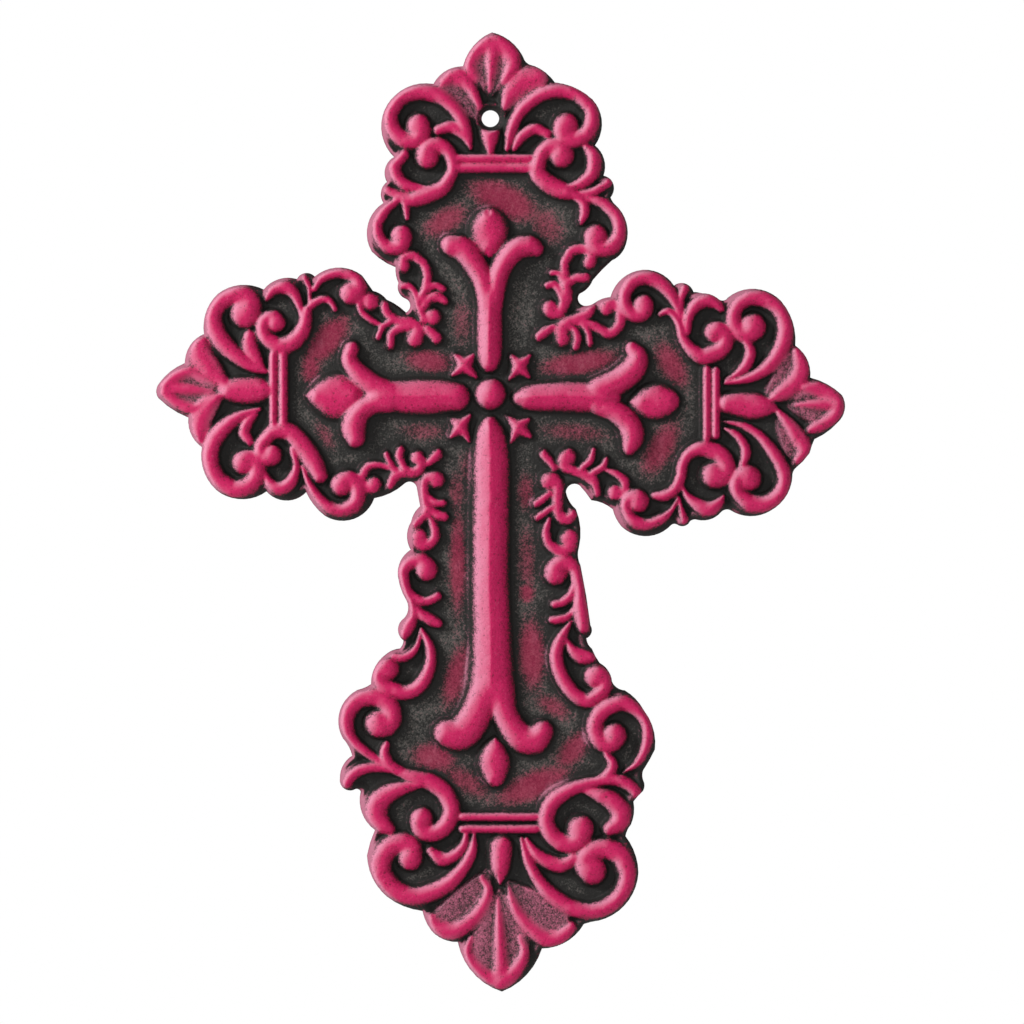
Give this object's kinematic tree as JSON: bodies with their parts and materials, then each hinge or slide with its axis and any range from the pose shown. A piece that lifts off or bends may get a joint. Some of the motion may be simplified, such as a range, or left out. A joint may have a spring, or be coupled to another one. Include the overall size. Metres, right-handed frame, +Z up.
{
  "type": "wall cross",
  "caption": "Flat-backed cast iron wall cross with a scalloped outline, raised scrolls and leaves, a central fleury cross with a knob, and a hanging hole near the top.",
  "frame": {"origin": "on the hanging hole's axis, at the flat back face", "axes": "+X to the viewer's right, +Y into the wall (the carved front faces -Y), +Z up"},
  "size_m": [0.2005, 0.0088, 0.2794],
  "materials": {
    "painted_cast_iron": "black ground with dry-brushed magenta paint on the raised carving, satin to matt"
  },
  "bodies": {
    "root": {"cast_iron_cross": "painted_cast_iron"}
  },
  "joints": []
}
